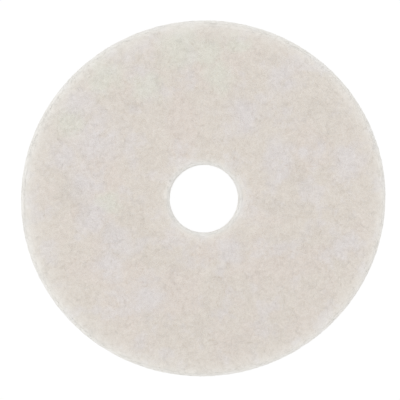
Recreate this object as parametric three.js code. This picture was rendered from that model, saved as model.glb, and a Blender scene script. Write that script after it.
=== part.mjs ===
// A floor polishing pad for a rotary floor machine. It is one thick slab of needled and bonded fibre,
// die-cut from a wide web, with a hole through its middle for the hub of the machine's pad driver.
// Both faces work: the pad is turned over when one side is worn.
//
// Units are millimetres and +Z is up. The pad lies on its underside, and the origin is the middle of
// that face. X runs along the outline's long axis.

import * as THREE from "three";

// Outline. The web is soft and stretched while it is cut, and the pad relaxes afterwards,
// so a nominal 432 mm round ends up a little longer one way than the other.
const PAD_LENGTH = 437;
const PAD_WIDTH = 426;
const PAD_THICKNESS = 25;

// Hole for the driver's hub, cut by the same die.
const HOLE_LENGTH = 80;
const HOLE_WIDTH = 79;

// The cutting rule squeezes the web before it parts it, so every edge springs back as a soft shoulder.
// The reach is how far a shoulder goes in over the face, and the squareness is the exponent of its
// section: 2 gives a half-round rim, and a higher number a straighter wall with a tighter corner.
const RIM_REACH = 9;
const RIM_SQUARENESS = 3;
const HOLE_REACH = 6;
const HOLE_SQUARENESS = 3;

// Facets: stations round the pad, and steps from mid-wall to a face on each edge.
const STATIONS = 120;
const RIM_STEPS = 6;
const HOLE_STEPS = 5;

// The section of a soft edge, from the lower face to the upper one. Each point holds the distance back
// from the edge's outermost line and the height. A power of the sine and cosine makes it a superellipse,
// which meets both faces level and stands upright at mid-thickness.
function softEdge(reach, squareness, steps) {
  const middle = PAD_THICKNESS / 2;
  const points = [];
  for (let step = -steps; step <= steps; step++) {
    const angle = (step / steps) * (Math.PI / 2);
    const outward = Math.cos(angle) ** (2 / squareness);
    const upward = Math.sign(angle) * Math.abs(Math.sin(angle)) ** (2 / squareness);
    points.push({ back: reach * (1 - outward), height: middle * (1 + upward) });
  }
  return points;
}

// A point of an oval outline at an angle, and the outward direction there.
function ovalAt(length, width, angle) {
  const point = new THREE.Vector2((length / 2) * Math.cos(angle), (width / 2) * Math.sin(angle));
  const outward = new THREE.Vector2(width * Math.cos(angle), length * Math.sin(angle)).normalize();
  return { point, outward };
}

// The whole section at one station, as a closed loop of points in space: up the outer edge,
// across the top to the hole, down the hole's edge, and back across the underside.
function sectionAt(angle, rim, lip) {
  const outer = ovalAt(PAD_LENGTH, PAD_WIDTH, angle);
  const inner = ovalAt(HOLE_LENGTH, HOLE_WIDTH, angle);
  const up = rim.map(({ back, height }) => {
    const at = outer.point.clone().addScaledVector(outer.outward, -back);
    return new THREE.Vector3(at.x, at.y, height);
  });
  const down = lip.map(({ back, height }) => {
    const at = inner.point.clone().addScaledVector(inner.outward, back);
    return new THREE.Vector3(at.x, at.y, height);
  });
  return [...up, ...down.reverse()];
}

// Sweeps the section round the pad. Neighbouring stations are joined by two triangles for each side
// of the section, so both faces come out as flat rings and the mesh closes on itself.
function padGeometry() {
  const rim = softEdge(RIM_REACH, RIM_SQUARENESS, RIM_STEPS);
  const lip = softEdge(HOLE_REACH, HOLE_SQUARENESS, HOLE_STEPS);
  const sides = rim.length + lip.length;
  const positions = [];
  for (let station = 0; station < STATIONS; station++) {
    const angle = (station / STATIONS) * Math.PI * 2;
    for (const point of sectionAt(angle, rim, lip)) {
      positions.push(point.x, point.y, point.z);
    }
  }
  const triangles = [];
  for (let station = 0; station < STATIONS; station++) {
    const here = station * sides;
    const next = ((station + 1) % STATIONS) * sides;
    for (let side = 0; side < sides; side++) {
      const above = (side + 1) % sides;
      triangles.push(here + side, next + side, next + above);
      triangles.push(here + side, next + above, here + above);
    }
  }
  const geometry = new THREE.BufferGeometry();
  geometry.setAttribute("position", new THREE.Float32BufferAttribute(positions, 3));
  geometry.setIndex(triangles);
  geometry.computeVertexNormals();
  return geometry;
}

// Undyed polyester and natural fibre, bonded with a clear resin: a warm off-white with no shine.
const fibreWeb = new THREE.MeshStandardMaterial({
  name: "fibre_web",
  color: new THREE.Color().setRGB(0.859, 0.831, 0.8, THREE.SRGBColorSpace),
  roughness: 0.9,
  metalness: 0,
});

const pad = new THREE.Mesh(padGeometry(), fibreWeb);
pad.name = "polishing_pad";

const part = new THREE.Group();
part.name = "floor_polishing_pad";
part.add(pad);

export default part;
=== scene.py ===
# %% [markdown]
# # A floor polishing pad
#
# The real pad is a slab of loose fibre, about an inch thick, that turns under a floor machine. Crimped
# polyester and natural hair are laid down as a fluffy web, needled together, sprayed with a clear resin and
# die-cut. It has no fabric, seam or backing: everything that shows is fibre. So this lesson makes three
# things: the soft slab, coats of real fibres over it, and the mottled off-white that runs through both.

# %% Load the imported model
import math

import bpy
import numpy as np
from mathutils import Matrix, Vector


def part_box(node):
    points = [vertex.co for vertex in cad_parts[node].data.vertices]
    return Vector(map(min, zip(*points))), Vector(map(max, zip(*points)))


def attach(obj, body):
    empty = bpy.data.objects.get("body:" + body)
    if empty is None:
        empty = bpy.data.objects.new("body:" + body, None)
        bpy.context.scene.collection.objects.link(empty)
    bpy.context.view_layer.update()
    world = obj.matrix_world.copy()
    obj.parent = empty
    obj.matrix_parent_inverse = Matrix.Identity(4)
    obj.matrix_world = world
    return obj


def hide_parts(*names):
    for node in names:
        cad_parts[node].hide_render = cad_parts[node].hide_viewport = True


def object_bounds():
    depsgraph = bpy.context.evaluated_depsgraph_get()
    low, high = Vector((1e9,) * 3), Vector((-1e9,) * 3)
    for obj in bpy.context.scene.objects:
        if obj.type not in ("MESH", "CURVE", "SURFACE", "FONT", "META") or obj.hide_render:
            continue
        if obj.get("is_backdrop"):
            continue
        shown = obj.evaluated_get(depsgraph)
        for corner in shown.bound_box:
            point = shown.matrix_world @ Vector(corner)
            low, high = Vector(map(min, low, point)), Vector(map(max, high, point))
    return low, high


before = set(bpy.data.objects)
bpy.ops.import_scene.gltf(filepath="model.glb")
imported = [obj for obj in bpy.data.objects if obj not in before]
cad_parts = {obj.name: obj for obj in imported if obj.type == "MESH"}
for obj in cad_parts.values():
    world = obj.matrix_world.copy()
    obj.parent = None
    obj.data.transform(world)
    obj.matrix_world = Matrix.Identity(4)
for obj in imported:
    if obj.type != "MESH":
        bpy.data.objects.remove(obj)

cad_low, cad_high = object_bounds()
print("CAD box, m:", [round(v, 4) for v in (*cad_low, *cad_high)])

# %% [markdown]
# ## Sizes
#
# The frame holds the pad at its real size, so the slab's length, width and thickness are read from it. The
# hole is read too, as the CAD corners nearest the axis. Only what the frame can't say is written here: how
# far the soft shoulders of the cut edges reach in over the faces, how square their section is, and how far
# the squeezed web has given way at the lip, which lets the hole show a little wider than it was cut.

# %% Read the sizes from the frame
MM = 0.001
NODE = "polishing_pad"
pad_low, pad_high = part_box(NODE)
thickness = pad_high.z - pad_low.z
middle = (pad_high.z + pad_low.z) / 2
pad_half = np.array([pad_high.x - pad_low.x, pad_high.y - pad_low.y]) / 2

HOLE_SEARCH = 60 * MM
corners = np.array([corner.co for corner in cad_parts[NODE].data.vertices])
by_the_hole = corners[np.hypot(corners[:, 0], corners[:, 1]) < HOLE_SEARCH]
narrowest = by_the_hole[np.abs(by_the_hole[:, 2] - middle) < MM]
hole_half = np.abs(narrowest[:, :2]).max(axis=0)

RIM_REACH = 9 * MM
HOLE_REACH = 6 * MM
SQUARENESS = 3.0
LIP_EASE = 0.6 * MM
print("pad, mm:", (pad_half * 2 / MM).round(1), "thick:", round(thickness / MM, 1))
print("hole, mm:", (hole_half * 2 / MM).round(1))

# %% [markdown]
# ## The camera
#
# The photograph looks straight down on the pad, from a little to the upper left, so the wall of the hole
# just shows on the right. The pad's long axis is turned about ten degrees in the picture. Rather than turn
# the pad, which has to stay in its frame, the camera is rolled the other way.

# %% The picture's own axes
LONG_AXIS_TURN = math.radians(9.9)
picture_right = Vector((math.cos(LONG_AXIS_TURN), -math.sin(LONG_AXIS_TURN), 0))
picture_up = Vector((math.sin(LONG_AXIS_TURN), math.cos(LONG_AXIS_TURN), 0))


def in_picture(right, up):
    """A level step, given along the picture's right and up."""
    return picture_right * right + picture_up * up


print("the picture's right is", [round(v, 3) for v in picture_right])

# %% Camera over the pad
PHOTO_PIXELS = 400
PIXEL = 1.1985 * MM
LENS = 100.0
SENSOR = 36.0
CAMERA_ASIDE = Vector((-38 * MM, 20 * MM, 0))
PAD_CENTRE_PIXEL = (203.95, 198.72)

frame_width = PHOTO_PIXELS * PIXEL
distance = frame_width * LENS / SENSOR
off_centre = [(PHOTO_PIXELS / 2 - pixel) * PIXEL for pixel in PAD_CENTRE_PIXEL]
aim = in_picture(off_centre[0], -off_centre[1]) + Vector((0, 0, middle))
eye = aim + in_picture(CAMERA_ASIDE.x, CAMERA_ASIDE.y) + Vector((0, 0, distance))

back = (eye - aim).normalized()
across = picture_up.cross(back).normalized()
upward = back.cross(across)
camera = bpy.data.objects.new("camera", bpy.data.cameras.new("camera"))
bpy.context.scene.collection.objects.link(camera)
camera.data.lens = LENS
camera.data.sensor_width = SENSOR
camera.matrix_world = Matrix.Translation(eye) @ Matrix((across, upward, back)).transposed().to_4x4()
bpy.context.scene.camera = camera
print("camera at, m:", [round(v, 3) for v in eye])

# %% [markdown]
# ## The light
#
# The picture is lit almost evenly, as by a white tent, with a little more from the left: the soft rim is
# palest there. An even white world gives the tent, and one large soft lamp gives the rest. Together they
# light a level surface at a strength of about one, so that a colour renders as it is written. What the
# camera sees of the tent is plain white, so the world and the floor both ask what kind of ray has met them.

# %% The white tent
TENT_SHARE = 0.915
SEEN_WHITE = 1.0


def seen_ray(tree):
    """1 on a ray from the camera, straight or by way of gloss or glass, and 0 on any other light."""
    path = tree.nodes.new("ShaderNodeLightPath")
    seen = path.outputs["Is Camera Ray"]
    for kind in ("Is Glossy Ray", "Is Transmission Ray"):
        either = tree.nodes.new("ShaderNodeMath")
        either.operation = "MAXIMUM"
        tree.links.new(seen, either.inputs[0])
        tree.links.new(path.outputs[kind], either.inputs[1])
        seen = either.outputs[0]
    return seen


world = bpy.data.worlds.new("white_tent")
bpy.context.scene.world = world
world.use_nodes = True
nodes, links = world.node_tree.nodes, world.node_tree.links
nodes.clear()
strength = nodes.new("ShaderNodeMapRange")
strength.inputs["To Min"].default_value = TENT_SHARE
strength.inputs["To Max"].default_value = SEEN_WHITE
links.new(seen_ray(world.node_tree), strength.inputs["Value"])
tent = nodes.new("ShaderNodeBackground")
tent.inputs["Color"].default_value = (1, 1, 1, 1)
links.new(strength.outputs[0], tent.inputs["Strength"])
output = nodes.new("ShaderNodeOutputWorld")
links.new(tent.outputs[0], output.inputs["Surface"])
print("the tent lights the pad at", TENT_SHARE, "and shows at", SEEN_WHITE)

# %% The soft lamp
LAMP_SHARE = 0.10
LAMP_DISTANCE = 3.2
LAMP_SIZE = 1.9
LAMP_LEAN = math.radians(30)
LIT_SIDE = in_picture(-1, 0.45).normalized()

# A small square lamp lights what faces it at its power over the square of pi times the distance.
lamp_data = bpy.data.lights.new("soft_lamp", "AREA")
lamp_data.size = LAMP_SIZE
lamp_data.energy = LAMP_SHARE * (math.pi * LAMP_DISTANCE) ** 2 / math.cos(LAMP_LEAN)
lamp = bpy.data.objects.new("soft_lamp", lamp_data)
bpy.context.scene.collection.objects.link(lamp)
towards_lamp = LIT_SIDE * math.sin(LAMP_LEAN) + Vector((0, 0, math.cos(LAMP_LEAN)))
lamp.location = towards_lamp * LAMP_DISTANCE
lamp.rotation_mode = "QUATERNION"
lamp.rotation_quaternion = towards_lamp.to_track_quat("Z", "Y")
bpy.context.scene.view_settings.view_transform = "Standard"
print("lamp, W:", round(lamp_data.energy, 2))

# %% [markdown]
# ## The floor
#
# The photograph's ground is plain white with hardly a trace of shadow. The floor gets that white where the
# camera sees it, mostly as a glow of its own, and the rest as a little paint that still takes the pad's
# shadow. To every other ray it is only white paint, so it adds no light to the pad that a real floor
# wouldn't.

# %% Floor
FLOOR_HALF = 4.0
SEEN_GLOW = 0.965
SEEN_PAINT = 0.055
WHITE_PAINT = 0.88

bpy.ops.object.select_all(action="DESELECT")
bpy.ops.mesh.primitive_plane_add(size=FLOOR_HALF * 2, location=(0, 0, pad_low.z))
floor = bpy.context.active_object
floor.name = "floor"
bpy.ops.object.transform_apply(location=True, rotation=True, scale=True)
white = bpy.data.materials.new("white_floor")
white.use_nodes = True
nodes, links = white.node_tree.nodes, white.node_tree.links
nodes.clear()
paint = nodes.new("ShaderNodeBsdfDiffuse")
paint.inputs["Color"].default_value = (WHITE_PAINT, WHITE_PAINT, WHITE_PAINT, 1)
seen_paint = nodes.new("ShaderNodeBsdfDiffuse")
seen_paint.inputs["Color"].default_value = (SEEN_PAINT, SEEN_PAINT, SEEN_PAINT, 1)
glow = nodes.new("ShaderNodeEmission")
glow.inputs["Strength"].default_value = SEEN_GLOW
both = nodes.new("ShaderNodeAddShader")
links.new(seen_paint.outputs[0], both.inputs[0])
links.new(glow.outputs[0], both.inputs[1])
choice = nodes.new("ShaderNodeMixShader")
links.new(seen_ray(white.node_tree), choice.inputs[0])
links.new(paint.outputs[0], choice.inputs[1])
links.new(both.outputs[0], choice.inputs[2])
output = nodes.new("ShaderNodeOutputMaterial")
links.new(choice.outputs[0], output.inputs["Surface"])
floor.data.materials.append(white)
floor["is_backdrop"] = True
print("floor at, m:", round(pad_low.z, 4))

# %% [markdown]
# ## The section
#
# A cutting rule squeezes the web before it parts it, so both cut edges spring back as soft shoulders. Their
# section is a superellipse: upright at mid-thickness, level where it meets the face. One curve gives the
# rim and the lip of the hole, and the whole section is a list of ovals, each with its two half axes and its
# height, from the middle of the hole's wall over the top to the middle of the rim, and back underneath.

# %% The section as a list of ovals
def edge_curve(reach, tall, steps):
    """How far back and how high an edge's section goes, from mid-wall to the face."""
    turn = np.linspace(0.0, math.pi / 2, steps + 1)
    set_back = reach * (1 - np.cos(turn) ** (2 / SQUARENESS))
    up = tall * np.sin(turn) ** (2 / SQUARENESS)
    return set_back, up


def ovals(half, set_back, up):
    """One row for each step: half length, half width, height above mid-thickness."""
    return np.stack([half[0] + set_back, half[1] + set_back, up], axis=1)


def section(inset, lip_steps, face_steps, rim_steps):
    """The closed section, as ovals, with its surface that far inside the pad's."""
    tall = thickness / 2 - inset
    set_back, up = edge_curve(HOLE_REACH, tall, lip_steps)
    lip = ovals(hole_half + LIP_EASE + inset, set_back, up)
    set_back, up = edge_curve(RIM_REACH, tall, rim_steps)
    rim = ovals(pad_half - inset, -set_back, up)[::-1]
    face = np.linspace(lip[-1], rim[0], face_steps + 1)[1:-1]
    upper = np.concatenate([lip, face, rim])
    lower = upper[-2:0:-1] * (1, 1, -1)
    return np.concatenate([upper, lower])


SLAB_INSET = 0.6 * MM
SLAB_STEPS = (5, 34, 8)
slab_section = section(SLAB_INSET, *SLAB_STEPS)
print("the slab's section has", len(slab_section), "ovals")

# %% [markdown]
# ## The slab
#
# Under the fibres that can be told apart lies the dense web, which reads as one soft, lumpy body. By hand
# it is drawn as one oval of points on the hole's wall, extruded ring by ring along the section, and closed
# on itself. It stays a little inside the pad's real surface, which leaves room for the loose fibres.

# %% Extrude the slab ring by ring
AROUND = 420
WELD = 0.01 * MM


def draw_ring(oval):
    """Starts the mesh as one ring of points at an oval's size and height."""
    bpy.ops.object.select_all(action="DESELECT")
    bpy.ops.mesh.primitive_circle_add(vertices=AROUND, radius=1, location=(0, 0, 0))
    bpy.ops.object.mode_set(mode="EDIT")
    bpy.ops.mesh.select_all(action="SELECT")
    bpy.ops.transform.resize(value=(oval[0], oval[1], 1), center_override=(0, 0, 0))
    bpy.ops.transform.translate(value=(0, 0, middle + oval[2]))


def extrude_to(old, new):
    """Extrudes the selected ring from one oval of the section to the next."""
    rise = {"value": (0, 0, new[2] - old[2])}
    bpy.ops.mesh.extrude_edges_move(TRANSFORM_OT_translate=rise)
    stretch = (new[0] / old[0], new[1] / old[1], 1)
    bpy.ops.transform.resize(value=stretch, center_override=(0, 0, 0))


draw_ring(slab_section[0])
for old, new in zip(slab_section, np.roll(slab_section, -1, axis=0)):
    extrude_to(old, new)
bpy.ops.mesh.select_all(action="SELECT")
bpy.ops.mesh.remove_doubles(threshold=WELD)
bpy.ops.mesh.normals_make_consistent(inside=False)
bpy.ops.object.mode_set(mode="OBJECT")
slab = bpy.context.active_object
slab.name = "web_slab"
slab.data.name = "web_slab"
print("slab:", len(slab.data.vertices), "points,", len(slab.data.polygons), "faces")

# %% [markdown]
# ## Lumps
#
# Needling pulls the web down in places and leaves it standing in others. Two displace modifiers lift and
# sink the slab in the same way, in broad waves and in small tufts. By the cut edges the web is pressed
# firm, so a vertex group fades the lumps out there. The two noises are kept, because the fibres have to
# rise and sink with the slab.

# %% How much of the lumps is left by the edges
EDGE_SHARE = 0.25
EVEN_REACH = 15 * MM


def past_oval(points, half):
    """How far some places lie outside an oval, or inside it as a negative number."""
    share = np.hypot(points[..., 0] / half[0], points[..., 1] / half[1])
    return (share - 1) * half.mean()


def lump_share(points):
    """How much of the lumps is left at some places: all on the faces, and less by the cut edges."""
    to_edge = np.minimum(-past_oval(points, pad_half), past_oval(points, hole_half))
    near = np.clip(to_edge / EVEN_REACH, 0, 1)
    return EDGE_SHARE + (1 - EDGE_SHARE) * near * near * (3 - 2 * near)


lumpy = slab.vertex_groups.new(name="lumpy")
places = np.array([corner.co for corner in slab.data.vertices])
for index, share in enumerate(lump_share(places)):
    lumpy.add([index], float(share), "REPLACE")
print("points with all of the lumps:", int((lump_share(places) == 1).sum()), "of", len(places))

# %% Lift and sink the slab's surface
WAVES = {"size": 26 * MM, "depth": 0.7 * MM}
TUFTS = {"size": 9 * MM, "depth": 0.7 * MM}
MID_LEVEL = 0.5


def displace(piece, name, size, depth):
    """Moves a surface in and out along its normals by a soft noise, and returns the noise and its depth."""
    clouds = bpy.data.textures.new(name, "CLOUDS")
    clouds.noise_scale = size
    clouds.noise_depth = 1
    mover = piece.modifiers.new(name, "DISPLACE")
    mover.texture = clouds
    mover.texture_coords = "LOCAL"
    mover.strength = depth
    mover.mid_level = MID_LEVEL
    mover.vertex_group = lumpy.name
    bpy.context.view_layer.objects.active = piece
    bpy.ops.object.modifier_apply(modifier=mover.name)
    return clouds, depth


lumps = [displace(slab, "waves", **WAVES), displace(slab, "tufts", **TUFTS)]
slab.vertex_groups.clear()
bpy.ops.object.select_all(action="DESELECT")
slab.select_set(True)
bpy.ops.object.shade_smooth()
heights = np.array([corner.co.z for corner in slab.data.vertices])
print("slab stands from", round(heights.min() / MM, 2), "to", round(heights.max() / MM, 2), "mm")

# %% [markdown]
# ## The way of a fibre
#
# No two fibres of the real web lie alike, so copies of one curl would show as a pattern. Here each fibre
# wanders over the pad's own surface. The surface is the section again, measured along its length, so a
# fibre can run over a shoulder and down the wall, and it follows the slab's lumps by the same two noises.
# This is done in plain arithmetic on all fibres at once, because no operator draws such a path.

# %% The surface that the fibres run on
GUIDE_LIP, GUIDE_FACE, GUIDE_RIM = 24, 200, 30

guide = section(0.0, GUIDE_LIP, GUIDE_FACE, GUIDE_RIM)
guide = np.concatenate([guide, guide[:1]])
guide_radius = guide[:, :2].mean(axis=1)
piece_lengths = np.hypot(np.diff(guide_radius), np.diff(guide[:, 2]))
along = np.concatenate([[0], np.cumsum(piece_lengths)])
girth = along[-1]
outward = -np.gradient(guide[:, 2], along)
level = np.gradient(guide_radius, along)
upper_lip_end = along[GUIDE_LIP]
upper_face_end = along[GUIDE_LIP + GUIDE_FACE]
rim_middle = along[GUIDE_LIP + GUIDE_FACE + GUIDE_RIM]


def surface(way, turn, lift):
    """Points at a way along the section and a turn round the pad, lifted off the surface."""
    way = way % girth
    half_x, half_y, height = (np.interp(way, along, guide[:, column]) for column in range(3))
    push = np.interp(way, along, outward) * lift
    x = (half_x + push) * np.cos(turn)
    y = (half_y + push) * np.sin(turn)
    z = middle + height + np.interp(way, along, level) * lift
    return np.stack([x, y, z], axis=-1)


def normals(way, turn):
    """The surface's outward direction at the same places."""
    push = np.interp(way % girth, along, outward)
    up = np.interp(way % girth, along, level)
    return np.stack([push * np.cos(turn), push * np.sin(turn), up], axis=-1)


def lumpiness(points):
    """How far the slab's waves and tufts lift its surface at some places."""
    flat_list = points.reshape(-1, 3).tolist()
    rise = np.zeros(len(flat_list))
    for clouds, depth in lumps:
        rise += depth * (np.array([clouds.evaluate(place)[3] for place in flat_list]) - MID_LEVEL)
    return rise.reshape(points.shape[:-1]) * lump_share(points)


print("girth of the section, mm:", round(girth / MM, 1))

# %% [markdown]
# ## How a fibre wanders
#
# A fibre starts anywhere, takes short steps, and turns a little at each, by a steady curl of its own and by
# small kinks. Its height rises and dips as it goes, and both ends go down into the slab, which seems to
# hold it. Every draw comes from a numbered generator, so each run lays the same fibres.

# %% Let fibres wander
SPREAD_SAMPLES = 400
FLOW_SPREAD = 0.12


def spread(chance, count, low, high):
    """Starting ways between two limits, as many on each patch of surface as its area asks."""
    ways = np.linspace(low, high, SPREAD_SAMPLES)
    share = np.cumsum(np.interp(ways % girth, along, guide_radius))
    return np.interp(chance.uniform(share[0], share[-1], count), share, ways)


def wander(chance, count, low, high, steps, stride, curl, kink, flow):
    """The ways and turns of fibres that start between two limits of the section and stay there."""
    way = spread(chance, count, low, high)
    turn = chance.uniform(0, 2 * math.pi, count)
    heading = chance.uniform(-math.pi, math.pi, count)
    round_the_pad = math.pi / 2 + heading * FLOW_SPREAD
    heading = np.where(chance.uniform(size=count) < flow, round_the_pad, heading)
    steady = chance.normal(0, curl, count)
    ways, turns = [way], [turn]
    for _ in range(steps):
        heading = heading + steady + chance.normal(0, kink, count)
        way = way + stride * np.cos(heading)
        way = np.where(way < low, 2 * low - way, way)
        way = np.where(way > high, 2 * high - way, way)
        radius = np.interp(way % girth, along, guide_radius)
        turn = turn + stride * np.sin(heading) / radius
        ways.append(way)
        turns.append(turn)
    return np.stack(ways, axis=1), np.stack(turns, axis=1)


TRIAL = 1000
trial_ways = spread(np.random.default_rng(0), TRIAL, 0.0, rim_middle)
print("of", TRIAL, "trial fibres,", int((trial_ways > upper_face_end).sum()), "would start on the rim")

# %% Let them rise and dip
RIPPLES = (0.6, 1.6)
DIP_POWER = 3


def lifts(chance, count, steps, low, high, swing, dip):
    """The heights of fibres over the surface, with both ends dipping into the slab."""
    base = chance.uniform(low, high, (count, 1))
    step = np.linspace(0, 1, steps + 1)
    phase = chance.uniform(0, 2 * math.pi, (count, 1))
    ripples = chance.uniform(*RIPPLES, (count, 1))
    wave = swing * np.sin(phase + 2 * math.pi * ripples * step)
    return base + wave - dip * np.abs(2 * step - 1) ** DIP_POWER


print("a fibre rises and dips", RIPPLES[0], "to", RIPPLES[1], "times")

# %% [markdown]
# ## Fibres as meshes
#
# A fibre of this pad is thinner than a third of a millimetre, so four sides are enough, with a point at
# each end: a few dozen faces for each of many thousands. The tube stands on an edge, so its two upper sides
# both catch the light. Every fibre also carries a tone, one number that says whether it is hair, cream or
# white, and a place on a texture map where it has a small strip of its own.

# %% A fibre's tube
SIDES = 4


def tubes(centres, outwards, radius):
    """Ring points round each inner centre and one point at each end, as rows of points per fibre."""
    direction = np.gradient(centres, axis=1)
    direction /= np.linalg.norm(direction, axis=2, keepdims=True)
    side = np.cross(direction, outwards)
    side /= np.linalg.norm(side, axis=2, keepdims=True)
    above = np.cross(side, direction)
    rings = []
    for turn in np.arange(SIDES) * 2 * math.pi / SIDES:
        reach = side * math.cos(turn) + above * math.sin(turn)
        rings.append(centres[:, 1:-1] + reach[:, 1:-1] * radius[:, None, None])
    inner = np.stack(rings, axis=2).reshape(len(centres), -1, 3)
    return np.concatenate([centres[:, :1], inner, centres[:, -1:]], axis=1)


def fibre_faces(steps):
    """One fibre's faces, and for each of their corners its place in the fibre's strip of the map."""
    quads, quad_places, tips, tip_places = [], [], [], []
    last = 1 + (steps - 1) * SIDES
    for side in range(SIDES):
        after = (side + 1) % SIDES
        for ring in range(steps - 2):
            here = 1 + ring * SIDES
            quads.append([here + side, here + SIDES + side, here + SIDES + after, here + after])
            ring_places = [(ring + 1, side), (ring + 2, side), (ring + 2, side + 1), (ring + 1, side + 1)]
            quad_places.append(ring_places)
        end = last - SIDES
        tips.append([0, 1 + side, 1 + after])
        tip_places.append([(0, side + 0.5), (1, side), (1, side + 1)])
        tips.append([last, end + after, end + side])
        tip_places.append([(steps, side + 0.5), (steps - 1, side + 1), (steps - 1, side)])
    scale = (steps, SIDES)
    return quads, np.array(quad_places) / scale, tips, np.array(tip_places) / scale


STEPS = 6
quads, _, tips, _ = fibre_faces(STEPS)
print("a fibre has", len(quads), "four-sided faces and", len(tips), "three-sided ones at its tips")

# %% Many fibres as one mesh
STRIP_MARGIN = 0.12
STRIP_TALLNESS = 2.4


def strips(count, strip_places):
    """Puts each fibre's places into a strip of its own on the map."""
    columns = math.ceil(math.sqrt(count / STRIP_TALLNESS))
    rows = math.ceil(count / columns)
    index = np.arange(count)
    corner = np.stack([index % columns, index // columns], axis=1)
    inside = STRIP_MARGIN + strip_places.reshape(1, -1, 2) * (1 - 2 * STRIP_MARGIN)
    return (corner[:, None, :] + inside) / (columns, rows)


def fibre_piece(name, centres, outwards, radius, tone):
    """One mesh object of many fibres."""
    count, steps = len(centres), centres.shape[1] - 1
    points = tubes(centres, outwards, radius)
    quads, quad_places, tips, tip_places = fibre_faces(steps)
    offsets = (np.arange(count) * points.shape[1])[:, None, None]
    faces = (np.array(quads)[None] + offsets).reshape(-1, 4).tolist()
    faces += (np.array(tips)[None] + offsets).reshape(-1, 3).tolist()
    mesh = bpy.data.meshes.new(name)
    mesh.from_pydata(points.reshape(-1, 3).tolist(), [], faces)
    mesh.update()
    tones = mesh.attributes.new("tone", "FLOAT", "POINT")
    tones.data.foreach_set("value", np.repeat(tone, points.shape[1]).astype(np.float32))
    bake_map = mesh.uv_layers.new(name="OFBake")
    on_map = [strips(count, quad_places).reshape(-1, 2), strips(count, tip_places).reshape(-1, 2)]
    bake_map.data.foreach_set("uv", np.concatenate(on_map).astype(np.float32).ravel())
    piece = bpy.data.objects.new(name, mesh)
    bpy.context.scene.collection.objects.link(piece)
    mesh.shade_flat()
    print(name, "has", count, "fibres and", count * 2 * SIDES * (steps - 1), "triangles")
    return piece


# %% [markdown]
# ## Where the fibres go
#
# The face that shows gets three coats: two deeper ones, and a loose one over them. The underside is the
# same web, less densely drawn. On the cut walls the fibres lie mostly along the edge, because the web was
# laid flat in thin layers, and the die only bared the edges of those layers. They are pressed closer there,
# and a second, looser coat on the rim gives it its faint fuzz. Heights are measured from the pad's real
# surface, and nearly all of a fibre lies below it, so they are negative.

# %% One coat of fibres
CURL = 0.28
KINK = 0.35
FLOOR_GAP = 0.05 * MM


def coat(name, seed, count, low, high, stride, radius, lift, swing, dip, curl=CURL, kink=KINK, flow=0.0):
    """A coat of fibres between two limits of the section. Flow is the share that runs round the pad."""
    chance = np.random.default_rng(seed)
    ways, turns = wander(chance, count, low, high, STEPS, stride, curl, kink, flow)
    height = lifts(chance, count, STEPS, *lift, swing, dip)
    centres = surface(ways, turns, height + lumpiness(surface(ways, turns, 0.0)))
    thick = chance.uniform(*radius, count)
    lowest = pad_low.z + thick[:, None] + FLOOR_GAP
    centres[..., 2] = np.maximum(centres[..., 2], lowest)
    tone = chance.uniform(size=count)
    return fibre_piece(name, centres, normals(ways, turns), thick, tone)


# %% Coats on the face that shows
OVER_LIP = 3 * MM
OVER_RIM = 5 * MM
FACE_LOW = upper_lip_end - OVER_LIP
FACE_HIGH = upper_face_end + OVER_RIM

deep_face_coat = coat(
    "deep_face_fibres", seed=11, count=4950, low=FACE_LOW, high=FACE_HIGH, stride=3.2 * MM,
    radius=(0.13 * MM, 0.18 * MM), lift=(-0.65 * MM, -0.45 * MM), swing=0.12 * MM, dip=0.3 * MM,
)
face_coat = coat(
    "face_fibres", seed=12, count=4950, low=FACE_LOW, high=FACE_HIGH, stride=3.0 * MM,
    radius=(0.11 * MM, 0.16 * MM), lift=(-0.55 * MM, -0.3 * MM), swing=0.15 * MM, dip=0.35 * MM,
)
loose_face_coat = coat(
    "loose_face_fibres", seed=16, count=3400, low=FACE_LOW, high=FACE_HIGH, stride=2.6 * MM,
    radius=(0.10 * MM, 0.14 * MM), lift=(-0.35 * MM, -0.1 * MM),
    swing=0.15 * MM, dip=0.5 * MM, curl=0.36,
)

# %% Coats on the rim, in the hole and underneath
under = 2 * rim_middle
RIM_LOW = upper_face_end
RIM_HIGH = under - upper_face_end
WALL_OVERLAP = MM
LOOSE_INSET = 4 * MM

rim_coat = coat(
    "rim_fibres", seed=13, count=4200, low=RIM_LOW - WALL_OVERLAP, high=RIM_HIGH + WALL_OVERLAP,
    stride=3.0 * MM, radius=(0.11 * MM, 0.16 * MM), lift=(-0.66 * MM, -0.5 * MM),
    swing=0.08 * MM, dip=0.2 * MM, flow=0.7,
)
loose_rim_coat = coat(
    "loose_rim_fibres", seed=17, count=1700, low=RIM_LOW + LOOSE_INSET, high=RIM_HIGH - LOOSE_INSET,
    stride=2.6 * MM, radius=(0.09 * MM, 0.13 * MM), lift=(-0.55 * MM, -0.3 * MM),
    swing=0.15 * MM, dip=0.4 * MM, flow=0.5,
)
hole_coat = coat(
    "hole_fibres", seed=14, count=1100, low=-upper_lip_end - WALL_OVERLAP,
    high=upper_lip_end + WALL_OVERLAP, stride=2.2 * MM, radius=(0.11 * MM, 0.15 * MM),
    lift=(-0.66 * MM, -0.5 * MM), swing=0.08 * MM, dip=0.2 * MM, flow=0.5,
)
under_coat = coat(
    "underside_fibres", seed=15, count=2400, low=under - FACE_HIGH, high=under - FACE_LOW,
    stride=3.4 * MM, radius=(0.12 * MM, 0.17 * MM), lift=(-0.6 * MM, -0.35 * MM),
    swing=0.12 * MM, dip=0.3 * MM,
)
fibres = [deep_face_coat, face_coat, loose_face_coat, rim_coat, loose_rim_coat, hole_coat, under_coat]
print("pieces of fibre:", len(fibres))

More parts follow.
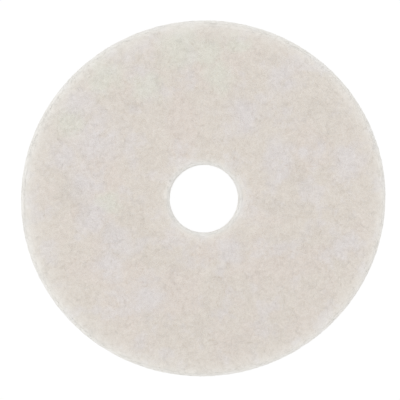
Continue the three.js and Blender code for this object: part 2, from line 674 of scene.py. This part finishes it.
# %% [markdown]
# ## Colour
#
# Seen from a step away the pad is a warm off-white with soft blotches: tan and rosy where hair has
# gathered, grey-white where polyester has, and here and there a breath of yellow-green. The slab and its
# fibres share all of this, so it is built as node groups that read the place on the pad. A tree of nodes
# written out link by link is hard to read, so a few helpers come first: each adds one node and hands on its
# output.

# %% Helpers: groups, values and sums
def shader_group(name, inputs, outputs):
    """An empty node group with sockets given as (name, kind), and its input and output nodes."""
    group = bpy.data.node_groups.new(name, "ShaderNodeTree")
    for label, kind in inputs:
        group.interface.new_socket(label, in_out="INPUT", socket_type=kind)
    for label, kind in outputs:
        group.interface.new_socket(label, in_out="OUTPUT", socket_type=kind)
    return group, group.nodes.new("NodeGroupInput"), group.nodes.new("NodeGroupOutput")


def feed(tree, socket, value):
    """Links a socket, or sets it to a plain value."""
    if isinstance(value, bpy.types.NodeSocket):
        tree.links.new(value, socket)
    else:
        socket.default_value = value


def placed(tree, group, **values):
    """A node group in a tree, with its inputs linked or set by name."""
    node = tree.nodes.new("ShaderNodeGroup")
    node.node_tree = group
    for label, value in values.items():
        feed(tree, node.inputs[label], value)
    return node


def calc(tree, operation, *values, clamp=False):
    """A Math node on sockets or numbers."""
    node = tree.nodes.new("ShaderNodeMath")
    node.operation = operation
    node.use_clamp = clamp
    for socket, value in zip(node.inputs, values):
        feed(tree, socket, value)
    return node.outputs[0]


# %% Helpers: ramps, mixes and noises
NOISE_MIDDLE = 0.5


def ramp(tree, value, low, high, to_low=0.0, to_high=1.0):
    """A smooth step from one value to another as the input crosses a range."""
    node = tree.nodes.new("ShaderNodeMapRange")
    node.interpolation_type = "SMOOTHSTEP"
    feed(tree, node.inputs["Value"], value)
    feed(tree, node.inputs["From Min"], low)
    feed(tree, node.inputs["From Max"], high)
    feed(tree, node.inputs["To Min"], to_low)
    feed(tree, node.inputs["To Max"], to_high)
    return node.outputs[0]


def mix_colours(tree, amount, under_colour, over_colour, how="MIX"):
    """A colour laid over another, by a Mix node, whose colours go in at 6 and 7 and come out at 2."""
    node = tree.nodes.new("ShaderNodeMix")
    node.data_type = "RGBA"
    node.blend_type = how
    feed(tree, node.inputs[0], amount)
    feed(tree, node.inputs[6], under_colour)
    feed(tree, node.inputs[7], over_colour)
    return node.outputs[2]


def noise(tree, place, size, seed, detail=2.0, roughness=0.5):
    """A noise node whose soft lumps are about the given size across."""
    node = tree.nodes.new("ShaderNodeTexNoise")
    node.noise_dimensions = "4D"
    feed(tree, node.inputs["Vector"], place)
    feed(tree, node.inputs["W"], seed)
    node.inputs["Scale"].default_value = 1 / size
    node.inputs["Detail"].default_value = detail
    node.inputs["Roughness"].default_value = roughness
    return node


# %% [markdown]
# ## Paler cut edges
#
# The cutting rule presses the web together, so its fibres stand closer by the rim and the lip of the hole,
# and the colour pales and goes quiet there. The paleness is partly that pressed web and partly painted
# light:
# the glow of light that comes through the loose edges, and a lift against the shade that falls on the
# shoulders and in the hole. How near a place is to an edge follows from the place alone: its distance from
# the two ovals, left to die away. The pale band is a little wider on the side that the light comes from,
# which is painted light. A second fading reaches further in, for the faint change that is left there.

# %% Group: nearness to a cut edge
RIM_FADE = 8 * MM
PAINTED_LIGHT_LEAN = 0.17
WIDE_FADE = 22 * MM
LIP_FADE = 5.5 * MM
LIP_STRENGTH = 1.35
FADE_POWER = 1.15


def oval_distance(group, parts, half):
    """How far a place lies outside an oval, or inside it as a negative number."""
    mean_half = float(half.mean())
    across_x = calc(group, "DIVIDE", parts.outputs[0], float(half[0]))
    across_y = calc(group, "DIVIDE", parts.outputs[1], float(half[1]))
    squares = calc(group, "MULTIPLY_ADD", across_x, across_x, calc(group, "POWER", across_y, 2.0))
    return calc(group, "MULTIPLY_ADD", calc(group, "SQRT", squares), mean_half, -mean_half)


def fading(group, distance_in, reach):
    """1 at an edge, dying away with the distance from it."""
    steps_in = calc(group, "MAXIMUM", calc(group, "DIVIDE", distance_in, reach), 0.0)
    fallen = calc(group, "MULTIPLY", calc(group, "POWER", steps_in, FADE_POWER), -1.0)
    return calc(group, "EXPONENT", fallen)


def edge_group():
    """Edge is 1 on the rim and the lip and dies away over the faces, and Wide dies away slower."""
    group, start, end = shader_group(
        "edge nearness",
        [("Place", "NodeSocketVector")],
        [("Edge", "NodeSocketFloat"), ("Wide", "NodeSocketFloat")],
    )
    parts = group.nodes.new("ShaderNodeSeparateXYZ")
    group.links.new(start.outputs["Place"], parts.inputs[0])
    to_rim = calc(group, "MULTIPLY", oval_distance(group, parts, pad_half), -1.0)
    # The pale band reaches further in on the side the lamp lights: painted light.
    side = group.nodes.new("ShaderNodeVectorMath")
    side.operation = "DOT_PRODUCT"
    group.links.new(start.outputs["Place"], side.inputs[0])
    side.inputs[1].default_value = LIT_SIDE / float(pad_half.mean())
    reach = calc(group, "MULTIPLY_ADD", side.outputs["Value"], RIM_FADE * PAINTED_LIGHT_LEAN, RIM_FADE)
    by_rim = fading(group, to_rim, reach)
    # The lip is paled more strongly, as painted light against the shade that falls in the hole.
    by_lip = fading(group, oval_distance(group, parts, hole_half), LIP_FADE)
    by_lip = calc(group, "MULTIPLY", by_lip, LIP_STRENGTH)
    group.links.new(calc(group, "MAXIMUM", by_rim, by_lip), end.inputs["Edge"])
    group.links.new(fading(group, to_rim, WIDE_FADE), end.inputs["Wide"])
    return group


EDGE = edge_group()
print(EDGE.name, "has", len(EDGE.nodes), "nodes")

# %% [markdown]
# ## Curled lines
#
# Among the fibres that are modelled lie many thousands of finer ones, which show as hair-thin curled lines.
# As meshes they would be far too many. A noise has level curves that wander and curl in the same way, so a
# thin band round the middle value of each of its three channels gives three tangled sets of lines.

# %% Group: curled lines
def curl_group():
    """Lines is 1 along the level curves of a noise, which wander and curl as fibres do."""
    group, start, end = shader_group(
        "curled lines",
        [
            ("Place", "NodeSocketVector"), ("Size", "NodeSocketFloat"),
            ("Width", "NodeSocketFloat"), ("Seed", "NodeSocketFloat"),
        ],
        [("Lines", "NodeSocketFloat")],
    )
    node = noise(group, start.outputs["Place"], 1.0, start.outputs["Seed"], detail=1.0)
    group.links.new(calc(group, "DIVIDE", 1.0, start.outputs["Size"]), node.inputs["Scale"])
    channels = group.nodes.new("ShaderNodeSeparateColor")
    group.links.new(node.outputs["Color"], channels.inputs[0])
    lines = None
    for channel in channels.outputs:
        away = calc(group, "ABSOLUTE", calc(group, "SUBTRACT", channel, NOISE_MIDDLE))
        line = ramp(group, away, 0.0, start.outputs["Width"], 1.0, 0.0)
        lines = line if lines is None else calc(group, "MAXIMUM", lines, line)
    group.links.new(lines, end.inputs["Lines"])
    return group


CURLS = curl_group()
print(CURLS.name, "has", len(CURLS.nodes), "nodes")

# %% [markdown]
# ## Where the tints gather
#
# The fibres mix unevenly as the web is laid, so each pad has blotches of its own. The larger ones of this
# pad are placed about where they lie, as round spots: millimetres right of its middle, millimetres
# above it in the picture, and a radius. A noise stirs the place before the spots are drawn, so they come
# out soft and ragged.
# Two of the lists are not blotches of the web: the shaded side is painted shade, a little darker towards
# the lower side of the picture, and the light middle is a broad zone a little lighter round the hole.

# %% Spots placed one by one
GREY_PATCHES = [
    (-78, 164, 17), (94, 145, 20), (-151, 111, 17), (50, 99, 20), (-127, 75, 27), (-169, 52, 16),
    (-139, 23, 20), (-130, -19, 18), (88, 49, 18), (129, 54, 13), (173, 48, 17), (94, 28, 12),
    (-105, -50, 18), (-115, -80, 16), (32, -62, 15), (-69, -117, 18), (169, -56, 15),
]
GREEN_PATCHES = [
    (-29, 179, 22), (4, 172, 16), (17, 145, 15), (41, 182, 13), (-117, 145, 17), (-69, 133, 16),
    (-160, 93, 15), (-115, -7, 12),
]
DARK_CLUMPS = [
    (113, 24, 11), (-87, 112, 8), (-159, 12, 17), (44, -168, 10), (-145, -10, 12), (-113, -41, 11),
    (80, -8, 9), (130, 106, 12),
]
# Painted shade: the pad a little darker towards the lower side of the picture.
PAINTED_SHADE_LOWER_SIDE = [(30, -190, 130)]
LIGHT_MIDDLE = [(0, 0, 60)]
STIR_REACH = 44 * MM
STIR_NOISE = {"size": 20 * MM, "seed": 2.0, "detail": 3.0}
SPOT_OUTSIDE, SPOT_INSIDE = 1.7, 0.3


def stirred(tree, place):
    """The place on the face, without its height, pushed about by a noise."""
    level_place = tree.nodes.new("ShaderNodeVectorMath")
    level_place.operation = "MULTIPLY"
    feed(tree, level_place.inputs[0], place)
    level_place.inputs[1].default_value = (1, 1, 0)
    cloud = noise(tree, level_place.outputs[0], **STIR_NOISE)
    away = tree.nodes.new("ShaderNodeVectorMath")
    away.operation = "SUBTRACT"
    feed(tree, away.inputs[0], cloud.outputs["Color"])
    away.inputs[1].default_value = (NOISE_MIDDLE, NOISE_MIDDLE, NOISE_MIDDLE)
    moved = tree.nodes.new("ShaderNodeVectorMath")
    moved.operation = "MULTIPLY_ADD"
    feed(tree, moved.inputs[0], away.outputs[0])
    moved.inputs[1].default_value = (STIR_REACH, STIR_REACH, 0)
    feed(tree, moved.inputs[2], level_place.outputs[0])
    return moved.outputs[0]


def spots(tree, place, patches):
    """1 inside soft round patches, each given as millimetres right, up and in radius."""
    covered = 0.0
    for right, up, radius in patches:
        apart = tree.nodes.new("ShaderNodeVectorMath")
        apart.operation = "DISTANCE"
        feed(tree, apart.inputs[0], place)
        apart.inputs[1].default_value = in_picture(right * MM, up * MM)
        near = ramp(tree, apart.outputs["Value"], SPOT_OUTSIDE * radius * MM, SPOT_INSIDE * radius * MM)
        covered = calc(tree, "MAXIMUM", covered, near)
    return covered


print("spots:", len(GREY_PATCHES), "grey,", len(GREEN_PATCHES), "green and", len(DARK_CLUMPS), "dark")

# %% [markdown]
# ## The colours
#
# A colour is easiest to judge as a screen shows it, from 0 to 255, and a shader wants the light that it
# stands for, so it is written the first way and turned into the second. All of them lie close together: the
# pad is nearly white, and stronger tints would turn it into stone.

# %% Colours as they show
def paint_colour(red, green, blue):
    """A colour as it shows on a screen, 0 to 255, turned into light by the screen's own curve."""
    shown = np.array([red, green, blue]) / 255
    light = np.where(shown <= 0.04045, shown / 12.92, ((shown + 0.055) / 1.055) ** 2.4)
    return (*light, 1.0)


TAN = paint_colour(229, 221.8, 213.2)
PINK = paint_colour(230, 221.4, 213.6)
GREY_WHITE = paint_colour(230.3, 225, 223.3)
YELLOW_GREEN = paint_colour(228.6, 228.6, 217.6)
FAINT = paint_colour(232, 230.5, 223.5)
# The pale edge colour is partly pressed web and partly painted light at the cut edges.
PALE_EDGE_AND_PAINTED_LIGHT = paint_colour(248.5, 249.5, 247.3)
HAIR = paint_colour(214, 204.5, 192)
WHITE_FIBRE = paint_colour(243, 240, 236)
print("tan as light:", [round(float(v), 3) for v in TAN[:3]])

# %% [markdown]
# ## The web's colour
#
# The group lays one thing over another: rosy, grey and green patches on the tan, small clumps a shade
# lighter or darker, painted shade towards the lower side, a lighter zone round the hole, fine dark and pale
# lines, and last the paleness of the cut edges, partly painted light, less on the wall than on the
# shoulders. Lively is 1 where the pattern shows in full and 0 at the edges, where it goes quiet.

# %% Patches on the tan
MOTTLE = {"size": 30 * MM, "seed": 3.0, "detail": 4.0, "roughness": 0.6}
GREY_BREAKS = (0.3, 0.5)
GREY_ELSEWHERE = (0.5, 0.64, 0.0, 0.7)
ROSY = {"size": 50 * MM, "seed": 8.0, "detail": 3.0}
ROSY_RANGE = (0.46, 0.6)
GREEN_STRENGTH = 0.7


def mottled(group, place, ragged, lively):
    """The tan web with its rosy, grey-white and yellow-green patches."""
    mottle = noise(group, place, **MOTTLE).outputs[0]
    grey = calc(group, "MULTIPLY", spots(group, ragged, GREY_PATCHES), ramp(group, mottle, *GREY_BREAKS))
    grey = calc(group, "MAXIMUM", grey, ramp(group, mottle, *GREY_ELSEWHERE))
    rosy = ramp(group, noise(group, place, **ROSY).outputs[0], *ROSY_RANGE)
    colour = mix_colours(group, calc(group, "MULTIPLY", rosy, lively), TAN, PINK)
    colour = mix_colours(group, grey, colour, GREY_WHITE)
    green = calc(group, "MULTIPLY", spots(group, ragged, GREEN_PATCHES), GREEN_STRENGTH)
    return mix_colours(group, green, colour, YELLOW_GREEN)


# %% Clumps and broad shades
CLUMPS = {"size": 4.5 * MM, "seed": 21.0, "detail": 3.0, "roughness": 0.65}
CLUMP_RANGE = (0.3, 0.7, 0.985, 1.015)
# Each depth darkens its spots: the lower side's darkening is painted shade, and the light middle's negative
# depth lightens round the hole.
SHADES = ((DARK_CLUMPS, 0.045), (PAINTED_SHADE_LOWER_SIDE, 0.012), (LIGHT_MIDDLE, -0.022))


def shaded(group, place, ragged, lively, colour):
    """The colour with its small clumps and dark clumps, painted shade towards the lower side, and a lighter
    zone round the hole.
    """
    shade = ramp(group, noise(group, place, **CLUMPS).outputs[0], *CLUMP_RANGE)
    for patches, depth in SHADES:
        shade = calc(group, "MULTIPLY_ADD", spots(group, ragged, patches), -depth, shade)
    return mix_colours(group, lively, colour, mix_colours(group, 1.0, colour, shade, "MULTIPLY"))


# %% Fine lines
LINE_WIDTH = 0.07
LINE_GAPS = {"size": 4 * MM, "detail": 3.0}
LINE_GAP_RANGE = (0.52, 0.66)
WEB_LINES = (
    {"size": 3.2 * MM, "seed": 5.0, "gap_seed": 30.0, "strength": 0.15, "colour": HAIR},
    {"size": 3.6 * MM, "seed": 14.0, "gap_seed": 40.0, "strength": 0.2, "colour": WHITE_FIBRE},
)


def lined(group, place, lively, colour):
    """The colour with its dark and its pale lines, where a noise lets them show."""
    for kind in WEB_LINES:
        curls = placed(group, CURLS, Place=place, Size=kind["size"], Width=LINE_WIDTH, Seed=kind["seed"])
        gaps = noise(group, place, seed=kind["gap_seed"], **LINE_GAPS).outputs[0]
        lines = calc(group, "MULTIPLY", curls.outputs["Lines"], ramp(group, gaps, *LINE_GAP_RANGE))
        lines = calc(group, "MULTIPLY", lines, lively)
        amount = calc(group, "MULTIPLY", lines, kind["strength"])
        colour = mix_colours(group, amount, colour, kind["colour"])
    return colour


# %% Paleness by the edges
FAINT_STRENGTH = 0.15
WALL_BAND = (0.4, 0.85)
WALL_PALE_AND_PAINTED_LIGHT = 0.5
RIM_PALE_AND_PAINTED_LIGHT = 0.8


def paled_with_painted_light(group, place, edge, wide, colour):
    """The colour paler by the cut edges, partly pressed web and partly painted light, less in the middle of
    a wall than on its shoulders.
    """
    colour = mix_colours(group, calc(group, "MULTIPLY", wide, FAINT_STRENGTH), colour, FAINT)
    height = group.nodes.new("ShaderNodeSeparateXYZ")
    group.links.new(place, height.inputs[0])
    off_middle = calc(group, "ABSOLUTE", calc(group, "SUBTRACT", height.outputs[2], middle))
    wall_ends, shoulder_starts = (share * thickness / 2 for share in WALL_BAND)
    # The paleness is partly pressed web and partly painted light: a glow through the loose edges, and a
    # lift against their shade.
    pale_and_painted_light = ramp(group, off_middle, wall_ends, shoulder_starts, WALL_PALE_AND_PAINTED_LIGHT, RIM_PALE_AND_PAINTED_LIGHT)
    pale_and_painted_light = calc(group, "MULTIPLY", edge, pale_and_painted_light, clamp=True)
    return mix_colours(group, pale_and_painted_light, colour, PALE_EDGE_AND_PAINTED_LIGHT)


# %% Group: the colour of the web
CALM_RANGE = (0.12, 0.5)
WIDE_CALM = 0.9


def web_group():
    """The mottled colour of the web, and how calm the pattern is near the edges."""
    group, start, end = shader_group(
        "web colour",
        [("Place", "NodeSocketVector")],
        [("Colour", "NodeSocketColor"), ("Calm", "NodeSocketFloat")],
    )
    place = start.outputs["Place"]
    edges = placed(group, EDGE, Place=place)
    edge, wide = edges.outputs["Edge"], edges.outputs["Wide"]
    calm = calc(group, "MAXIMUM", ramp(group, edge, *CALM_RANGE), calc(group, "MULTIPLY", wide, WIDE_CALM))
    lively = calc(group, "SUBTRACT", 1.0, calm)
    ragged = stirred(group, place)
    colour = mottled(group, place, ragged, lively)
    colour = shaded(group, place, ragged, lively, colour)
    colour = lined(group, place, lively, colour)
    colour = paled_with_painted_light(group, place, edge, wide, colour)
    group.links.new(colour, end.inputs["Colour"])
    group.links.new(calm, end.inputs["Calm"])
    return group


WEB = web_group()
print(WEB.name, "has", len(WEB.nodes), "nodes")

# %% [markdown]
# ## The slab's material
#
# The slab's material adds the fibres that are too fine to model: curled lines of a third of a millimetre,
# in colour and in bump, with painted shade in the gaps between them. On the walls they lie flatter, as the
# web's layers do, so the pattern is pressed together in height. By the edges the gaps close, which takes
# most of the painted shade away, and the bump goes quiet. Nothing shines: the resin is thin, and a faint
# sheen is all that loose fibre adds.

# %% A dull finish
FINISH = {"Roughness": 0.95, "Specular IOR Level": 0.15, "Sheen Weight": 0.05, "Sheen Roughness": 0.6}
EDGE_QUIET = 0.8


def matte(name):
    """A dull cloth-like surface: the material, its tree and shader, and the place on the pad."""
    material = bpy.data.materials.new(name)
    material.use_nodes = True
    tree = material.node_tree
    shader = tree.nodes["Principled BSDF"]
    for label, value in FINISH.items():
        shader.inputs[label].default_value = value
    place = tree.nodes.new("ShaderNodeTexCoord").outputs["Object"]
    return material, tree, shader, place


def quietness(tree, calm):
    """1 where the pattern is lively, and little where it is calm."""
    return calc(tree, "MULTIPLY_ADD", calm, -EDGE_QUIET, 1.0)


# %% Slab material
WALL_LAYERING = 2.2
COARSE_LINES = {"Size": 3.4 * MM, "Width": 0.04, "Seed": 51.0}
FINE_LINES = {"Size": 1.9 * MM, "Width": 0.05, "Seed": 77.0}
FINE_STRENGTH = 0.7
PAINTED_GAP_SHADE = (0.86, 0.85, 0.84, 1.0)
CLOSED_BY_EDGES = 0.9
BUMP_STRENGTH = 0.5
BUMP_DEPTH = 0.2 * MM


def slab_material():
    """The web's colour with fine lines, and painted shade in the gaps between them."""
    material, tree, shader, place = matte("fibre_web")
    web = placed(tree, WEB, Place=place)
    calm = web.outputs["Calm"]
    layered = tree.nodes.new("ShaderNodeMapping")
    layered.inputs["Scale"].default_value = (1, 1, WALL_LAYERING)
    tree.links.new(place, layered.inputs["Vector"])
    coarse = placed(tree, CURLS, Place=layered.outputs[0], **COARSE_LINES).outputs["Lines"]
    fine = placed(tree, CURLS, Place=layered.outputs[0], **FINE_LINES).outputs["Lines"]
    lines = calc(tree, "MAXIMUM", coarse, calc(tree, "MULTIPLY", fine, FINE_STRENGTH))
    # Painted shade: the colour a little darker in the gaps between the fine lines.
    gaps = mix_colours(tree, 1.0, web.outputs["Colour"], PAINTED_GAP_SHADE, "MULTIPLY")
    closed = ramp(tree, calm, 0.0, 1.0, 0.0, CLOSED_BY_EDGES)
    colour = mix_colours(tree, calc(tree, "MAXIMUM", lines, closed), gaps, web.outputs["Colour"])
    tree.links.new(colour, shader.inputs["Base Color"])
    bump = tree.nodes.new("ShaderNodeBump")
    bump.inputs["Strength"].default_value = BUMP_STRENGTH
    bump.inputs["Distance"].default_value = BUMP_DEPTH
    tree.links.new(calc(tree, "MULTIPLY", lines, quietness(tree, calm)), bump.inputs["Height"])
    tree.links.new(bump.outputs[0], shader.inputs["Normal"])
    return material


slab.data.materials.append(slab_material())
print("slab material:", slab.data.materials[0].name)

# %% [markdown]
# ## The fibres' material
#
# A fibre takes the web's colour where it lies, paled a little as painted light that makes up for the light
# its own sides miss, and shifts it by its own tone: browner for hair and whiter for polyester. One material
# does for all, because the tone is an attribute of each fibre. The hair shows in loose drifts, and not by
# the edges.

# %% Fibre material
FIBRE_PAINTED_LIGHT = 0.3
FIBRE_PAINTED_LIGHT_COLOUR = (1.0, 0.99, 0.975, 1.0)
HAIR_SHARE = 0.2
HAIR_FULL_SHARE = HAIR_SHARE * 0.5
HAIR_TINT = (0.84, 0.795, 0.735, 1.0)
HAIR_DRIFTS = {"size": 3.5 * MM, "seed": 60.0}
HAIR_DRIFT_RANGE = (0.46, 0.6)
WHITE_SHARE = 0.3
WHITE_STRENGTH = 0.5


def fibre_material():
    """The web's colour, paled by painted light and shifted by each fibre's own tone."""
    material, tree, shader, place = matte("fibres")
    web = placed(tree, WEB, Place=place)
    calm = web.outputs["Calm"]
    tone = tree.nodes.new("ShaderNodeAttribute")
    tone.attribute_name = "tone"
    hair = ramp(tree, tone.outputs["Fac"], HAIR_SHARE, HAIR_FULL_SHARE)
    hair = calc(tree, "MULTIPLY", hair, calc(tree, "SUBTRACT", 1.0, calm))
    drifts = ramp(tree, noise(tree, place, **HAIR_DRIFTS).outputs[0], *HAIR_DRIFT_RANGE)
    hair = calc(tree, "MULTIPLY", hair, drifts)
    white_part = ramp(tree, tone.outputs["Fac"], 1 - WHITE_SHARE, 1.0)
    white_part = calc(tree, "MULTIPLY", white_part, quietness(tree, calm))
    # Painted light: the fibre paled toward white, making up for the light its own sides miss.
    colour = mix_colours(tree, FIBRE_PAINTED_LIGHT, web.outputs["Colour"], FIBRE_PAINTED_LIGHT_COLOUR)
    browner = mix_colours(tree, 1.0, colour, HAIR_TINT, "MULTIPLY")
    colour = mix_colours(tree, hair, colour, browner)
    colour = mix_colours(tree, calc(tree, "MULTIPLY", white_part, WHITE_STRENGTH), colour, WHITE_FIBRE)
    tree.links.new(colour, shader.inputs["Base Color"])
    return material


fibre_look = fibre_material()
for piece in fibres:
    piece.data.materials.append(fibre_look)
print("fibre material:", fibre_look.name, "on", len(fibres), "pieces")

# %% [markdown]
# ## On the pad's body
#
# Every piece rides on the pad's one body. The slab stands for the plain CAD solid. The two boxes are
# written down, so that they can be compared.

# %% Ride, replace and finish
for piece in [slab, *fibres]:
    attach(piece, "root")
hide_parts(NODE)

low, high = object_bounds()
grown = [round((b - a) / MM, 2) for a, b in zip((*cad_low, *cad_high), (*low, *high))]
print("the visual box is off the CAD box by, mm:", grown)
